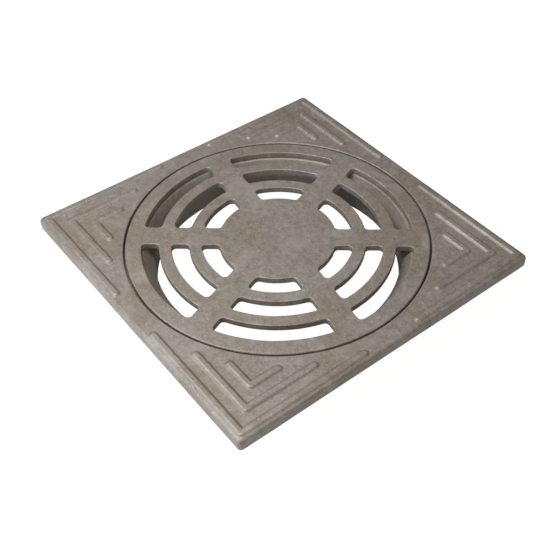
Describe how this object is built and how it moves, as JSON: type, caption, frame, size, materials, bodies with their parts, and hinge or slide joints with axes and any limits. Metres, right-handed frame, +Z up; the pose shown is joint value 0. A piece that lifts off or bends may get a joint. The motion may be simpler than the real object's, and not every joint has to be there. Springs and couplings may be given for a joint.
{
  "type": "drain grate",
  "caption": "Square cast floor drain cover: a frame with angled corner ribs and a collar below, and a round grate of curved slots that rests in it and lifts out.",
  "frame": {"origin": "middle of the collar's lower edge, on the axis of the collar and the round grate", "axes": "+Z up, out of the walking surface; +X and +Y square to the sides of the plate"},
  "size_m": [0.15, 0.15, 0.0196],
  "materials": {
    "frame_iron": "raw casting, satin, warm grey, lightly worn",
    "grate_iron": "raw casting, satin, warm grey, lightly worn and smudged"
  },
  "bodies": {
    "root": {"frame": "frame_iron", "grate": "grate_iron"}
  },
  "joints": []
}
